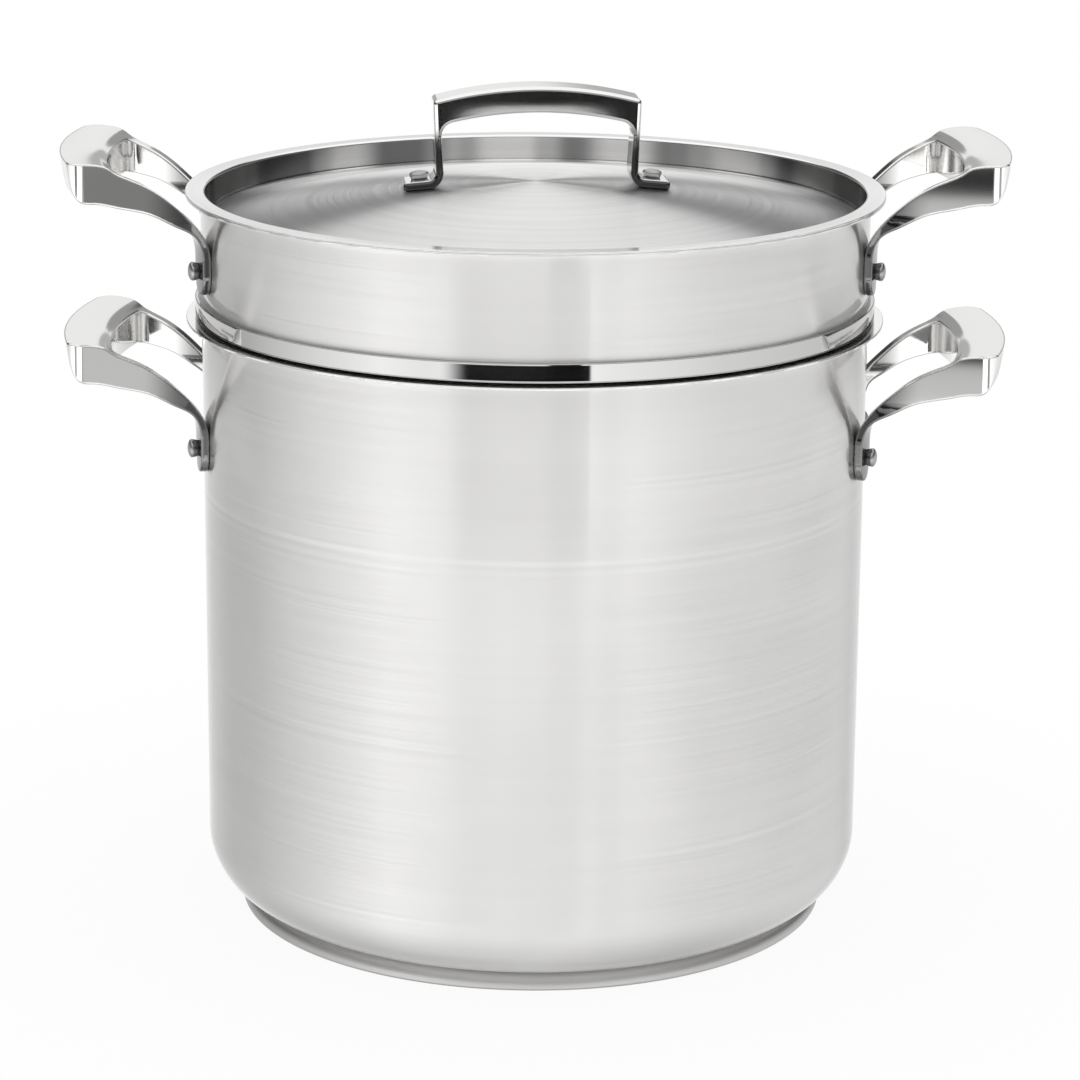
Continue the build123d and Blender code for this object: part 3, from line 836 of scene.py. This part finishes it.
pot_wall = turned("pot_wall", rounded([
    (0, pot_floor, 0),
    (wall_reach, pot_floor, pot_corner),
    (wall_reach, pot_rim_top - sheet, 0.5),
    (pot_rim_reach, pot_rim_top - sheet, edge_wear),
    (pot_rim_reach, pot_rim_top, edge_wear),
    (wall_reach - sheet, pot_rim_top, 1.2),
    (wall_reach - sheet, pot_floor + sheet, pot_corner - sheet),
    (0, pot_floor + sheet, 0),
], arc_step=6.0), round_steps, wall_steel)
print("open edges, litres of metal:", closed_and_outward(pot_wall))

# %% [markdown]
# The base is a sandwich: an aluminium disc under a thin steel cap. Only the cap shows, duller
# than the wall, and its edge runs up to the pot's round corner.

# %% Base cap
base_reach = 125.6
cap_sheet = 0.8
cap_bend = 1.5
cap_top = 8.33
cap_top_inside = cap_top - 0.43
pot_base = turned("pot_base", rounded([
    (0, 0, 0),
    (base_reach, 0, cap_bend),
    (base_reach, cap_top, 0),
    (base_reach - cap_sheet, cap_top_inside, 0),
    (base_reach - cap_sheet, cap_sheet, cap_bend - cap_sheet),
    (0, cap_sheet, 0),
]), round_steps, base_steel)
print("open edges, litres of metal:", closed_and_outward(pot_base))

# %% [markdown]
# ## Insert
# The insert hangs from a collar of the pot's own width. Below the collar a shoulder steps in, so
# that the vessel drops into the pot. The real one is welded where the ring covers it, and ground
# smooth, so one profile serves both CAD solids.

# %% Insert wall
insert_floor = 98.6
insert_reach = 135.0
insert_corner = 22.0
insert_rim_reach = 146.1
insert_rim_top = 308.8
shoulder_low, shoulder_high = 255.5, 261.0
shoulder_rise_inside = 0.39
insert_wall = turned("insert_wall", rounded([
    (0, insert_floor, 0),
    (insert_reach, insert_floor, insert_corner),
    (insert_reach, shoulder_low, 2.5),
    (wall_reach, shoulder_high, 2.5),
    (wall_reach, insert_rim_top - sheet, 0.5),
    (insert_rim_reach, insert_rim_top - sheet, edge_wear),
    (insert_rim_reach, insert_rim_top, edge_wear),
    (wall_reach - sheet, insert_rim_top, 1.2),
    (wall_reach - sheet, shoulder_high + shoulder_rise_inside, 1.5),
    (insert_reach - sheet, shoulder_low + shoulder_rise_inside, 3.5),
    (insert_reach - sheet, insert_floor + sheet, insert_corner - sheet),
    (0, insert_floor + sheet, 0),
], arc_step=6.0), round_steps, wall_steel)
print("open edges, litres of metal:", closed_and_outward(insert_wall))

# %% [markdown]
# The seat ring carries the insert's weight on the pot's rim. It is polished to a mirror, with a
# round lower edge that catches the pale floor as a bright line.

# %% Seat ring
ring_reach = 142.6
ring_top = 265.4
ring_seat = pot_rim_top + 0.02
ring_slit = pot_rim_top + 0.8
slit_reach = ring_reach - 2.0
ring_back = wall_reach - 0.1
insert_ring = turned("insert_ring", rounded([
    (ring_back, shoulder_high, 0),
    (ring_back, ring_seat, 0),
    (slit_reach, ring_seat, 0),
    (slit_reach, ring_slit, 0),
    (ring_reach, ring_slit, 0.9),
    (ring_reach, ring_top, 0.4),
    (ring_back, ring_top, 0),
    (ring_back, shoulder_high, 0),
], arc_step=8.0), round_steps, ring_steel)
print("open edges, litres of metal:", closed_and_outward(insert_ring))

# %% [markdown]
# ## Lid
# The lid is one pressing: a shallow dome, a gutter round it, an upright wall that fits inside
# the insert, and a flange that lies on the insert's rim. The dome is part of a sphere, so its
# points are worked out from the sphere's radius, once for the underside and once for the top.

# %% Dome of the lid
lid_sheet = 0.8
gutter_under = 296.4
dome_reach = 127.6
dome_rise = 15.2
dome_radius = (dome_reach**2 + dome_rise**2) / (2 * dome_rise)
dome_centre = gutter_under + dome_rise - dome_radius


def dome(radius, reach, steps=36):
    """Corners along the dome from its middle to its edge, on a sphere of this radius."""
    corners = []
    for step in range(steps):
        out = reach * step / steps
        corners.append((out, dome_centre + math.sqrt(radius**2 - out**2), 0))
    return corners


print("dome radius", round(dome_radius, 1), "mm")

# %% [markdown]
# The underside goes out along the dome to the flange, and the top comes back the same way.

# %% Lid
lid_wall_reach = 138.6
lid_seat = insert_rim_top + 0.03
flange_top = insert_rim_top + lid_sheet
gutter_top = gutter_under + lid_sheet
lid_under = dome(dome_radius, dome_reach) + [
    (dome_reach, gutter_under, 4.0),
    (lid_wall_reach, gutter_under, 3.0),
    (lid_wall_reach, lid_seat, 0.4),
    (insert_rim_reach, lid_seat, 0.25),
]
lid_over = [
    (insert_rim_reach, flange_top, 0.25),
    (lid_wall_reach - lid_sheet, flange_top, 1.2),
    (lid_wall_reach - lid_sheet, gutter_top, 2.2),
    (dome_reach, gutter_top, 4.0),
] + dome(dome_radius + lid_sheet, dome_reach)[::-1]
lid_profile = rounded(lid_under + lid_over, guard=0.3, arc_step=8.0)
lid_pan = turned("lid_pan", lid_profile, round_steps, lid_steel)
print("open edges, litres of metal:", closed_and_outward(lid_pan))

# %% [markdown]
# ## Rivets
# Each handle foot is held by one rivet, and each foot of the lid's handle too. A rivet is turned
# like the rest, so the lathe makes one of each kind, and a second tree sets copies on points
# that carry the direction in which the rivet looks.

# %% Rivet tree
place_rivets = bpy.data.node_groups.new("place_rivets", "GeometryNodeTree")
rivet_inputs = {
    "Seats": group_input(place_rivets, "Seats", "NodeSocketGeometry"),
    "Rivet": group_input(place_rivets, "Rivet", "NodeSocketObject"),
    "Size": group_input(place_rivets, "Size", "NodeSocketFloat", 1.0),
    "Finish": group_input(place_rivets, "Finish", "NodeSocketMaterial"),
}
place_rivets.interface.new_socket(
    name="Rivets", in_out="OUTPUT", socket_type="NodeSocketGeometry")
given = add_node(place_rivets, "NodeGroupInput").outputs
one = add_node(place_rivets, "GeometryNodeObjectInfo", {"Object": given["Rivet"]})
looks = add_node(
    place_rivets, "GeometryNodeInputNamedAttribute", {"Name": "looks"}, data_type="FLOAT_VECTOR")
aimed = add_node(
    place_rivets, "FunctionNodeAlignRotationToVector", {"Vector": looks.outputs[0]}, axis="Z")
copies = add_node(place_rivets, "GeometryNodeInstanceOnPoints", {
    "Points": given["Seats"], "Instance": one.outputs["Geometry"],
    "Rotation": aimed.outputs[0], "Scale": given["Size"]}).outputs[0]
realized = add_node(place_rivets, "GeometryNodeRealizeInstances", {"Geometry": copies}).outputs[0]
finish_inputs = {"Geometry": realized, "Material": given["Finish"]}
painted = add_node(place_rivets, "GeometryNodeSetMaterial", finish_inputs).outputs[0]
add_node(place_rivets, "NodeGroupOutput", {0: painted})
print("rivet tree:", len(place_rivets.nodes), "nodes")

# %% [markdown]
# A rivet's profile starts at the low dome of its tail, inside the vessel, and goes along the
# shank to the head. The head's side flares from the neck and ends in a rounded crown.


# %% One rivet of each kind
def rivet_profile(tail_seat, neck, head, head_height,
                  head_side_share=0.6, tail=4.6, tail_height=1.4, shank=2.5):
    """Side view of a rivet whose head sits at height nought and whose tail sits below."""
    side_top = head_height * head_side_share
    crown = []
    for angle in map(math.radians, (15, 30, 45, 60, 75)):
        crown.append((head * math.cos(angle), side_top + (head_height - side_top) * math.sin(angle), 0))
    tail_dome = []
    for angle in map(math.radians, (0, 20, 40, 60, 80)):
        tail_dome.append((tail * math.sin(angle), tail_seat - tail_height * math.cos(angle), 0))
    shaft = [(tail, tail_seat, 0), (shank, tail_seat, 0), (shank, 0, 0), (neck, 0, 0)]
    head_side = [(head, side_top, 0.5)]
    return rounded(tail_dome + shaft + head_side + crown + [(0, head_height, 0)], guard=0.05)


foot_face = 143.4
side_tail_face = 138.92
lid_foot_thickness = 3.4
side_profile = rivet_profile(side_tail_face - foot_face, 3.3, 3.9, 4.4)
lid_rivet_profile = rivet_profile(-lid_foot_thickness - lid_sheet, 3.4, 4.1, 3.4)
side_rivet = turned("side_rivet", side_profile, 48, rivet_steel)
lid_rivet = turned("lid_rivet", lid_rivet_profile, 48, rivet_steel)
print("open edges, litres:", closed_and_outward(side_rivet), closed_and_outward(lid_rivet))

# %% [markdown]
# The side rivets look straight out from the axis, two for each handle. The lid's rivets stand
# square on the dome, so they lean out a little.


# %% Seats of the rivets
def riveted(name, one_rivet, seats):
    """Copies of one rivet on seats given as (place, direction), in millimetres."""
    points = bpy.data.meshes.new(name + "_seats")
    points.from_pydata([Vector(place) * MM for place, _ in seats], [], [])
    directions = points.attributes.new("looks", "FLOAT_VECTOR", "POINT")
    for entry, (_, direction) in zip(directions.data, seats):
        entry.vector = direction
    settings = {
        rivet_inputs["Rivet"]: one_rivet, rivet_inputs["Size"]: 1.0,
        rivet_inputs["Finish"]: rivet_steel}
    return plain_mesh(name, points, place_rivets, settings, rivet_steel)


def outward_at(angle):
    """The level direction at an angle in degrees round the axis."""
    return Vector((math.cos(math.radians(angle)), math.sin(math.radians(angle)), 0))


def side_seats(seat_height, vessel_turn):
    """Seats of the four rivets of one vessel, two for each handle."""
    seats = []
    for middle in (vessel_turn, vessel_turn + 180):
        for angle in (middle - foot_angle, middle + foot_angle):
            outward = outward_at(angle)
            seats.append((outward * foot_face + Vector((0, 0, seat_height)), outward))
    return seats


def lid_seats(vessel_turn, rivet_reach, foot_radius):
    """Seats of the lid's two rivets, square on a sphere round the dome's centre."""
    seats = []
    tilt = math.asin(rivet_reach / (dome_radius + lid_sheet))
    for angle in (vessel_turn, vessel_turn + 180):
        square = outward_at(angle) * math.sin(tilt) + Vector((0, 0, math.cos(tilt)))
        seats.append((Vector((0, 0, dome_centre)) + square * foot_radius, square))
    return seats


# %% [markdown]
# The insert and the lid are turned a little on their seats, as in the picture, and their rivets
# turn with them. The two loose rivets have served their purpose once the copies are made.

# %% Rivets in place
lid_turn = 6.5
lid_rivet_reach = 48.4
lid_foot_radius = dome_radius + lid_sheet + lid_foot_thickness
pot_rivets = riveted("pot_rivets", side_rivet, side_seats(pot_rivet_height, 0.0))
insert_rivets = riveted("insert_rivets", side_rivet, side_seats(insert_rivet_height, insert_turn))
lid_rivets = riveted("lid_rivets", lid_rivet, lid_seats(lid_turn, lid_rivet_reach, lid_foot_radius))
for spare in (side_rivet, lid_rivet):
    bpy.data.objects.remove(spare)
for piece in (pot_rivets, insert_rivets, lid_rivets):
    print(piece.name, len(piece.data.polygons), "faces")

# %% [markdown]
# ## Bodies and finishes
# Each new piece rides on the body that it belongs to, and stands for the CAD solids that it
# replaces. The cast handles keep their CAD shape and get their polished finishes. The core disc
# is sealed in the base and keeps its shape too.

# %% Ride and replace
stands_for = [
    (pot_wall, "pot", ["pot_shell"], "vessel_steel"),
    (pot_base, "pot", ["pot_base_cap"], "base_steel"),
    (pot_rivets, "pot", ["pot_handle_left_rivets", "pot_handle_right_rivets"], "rivet_steel"),
    (insert_wall, "insert", ["insert_vessel", "insert_collar"], "vessel_steel"),
    (insert_ring, "insert", ["insert_seat_ring"], "ring_steel"),
    (insert_rivets, "insert",
     ["insert_handle_left_rivets", "insert_handle_right_rivets"], "rivet_steel"),
    (lid_pan, "lid", ["lid_shell"], "lid_steel"),
    (lid_rivets, "lid", ["lid_handle_rivets"], "rivet_steel"),
]
for piece, body, replaced, slot in stands_for:
    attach(piece, body)
    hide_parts(*replaced)

kept_finish = {
    "pot_core_disc": core_aluminium,
    "pot_handle_left": pot_handle_steel,
    "pot_handle_right": pot_handle_steel,
    "insert_handle_left": insert_handle_steel,
    "insert_handle_right": insert_handle_steel,
    "lid_handle": lid_handle_steel,
}
for name, finish in kept_finish.items():
    nodes[name].data.materials.clear()
    nodes[name].data.materials.append(finish)
print("pieces made:", len(stands_for), "CAD nodes kept:", len(kept_finish))
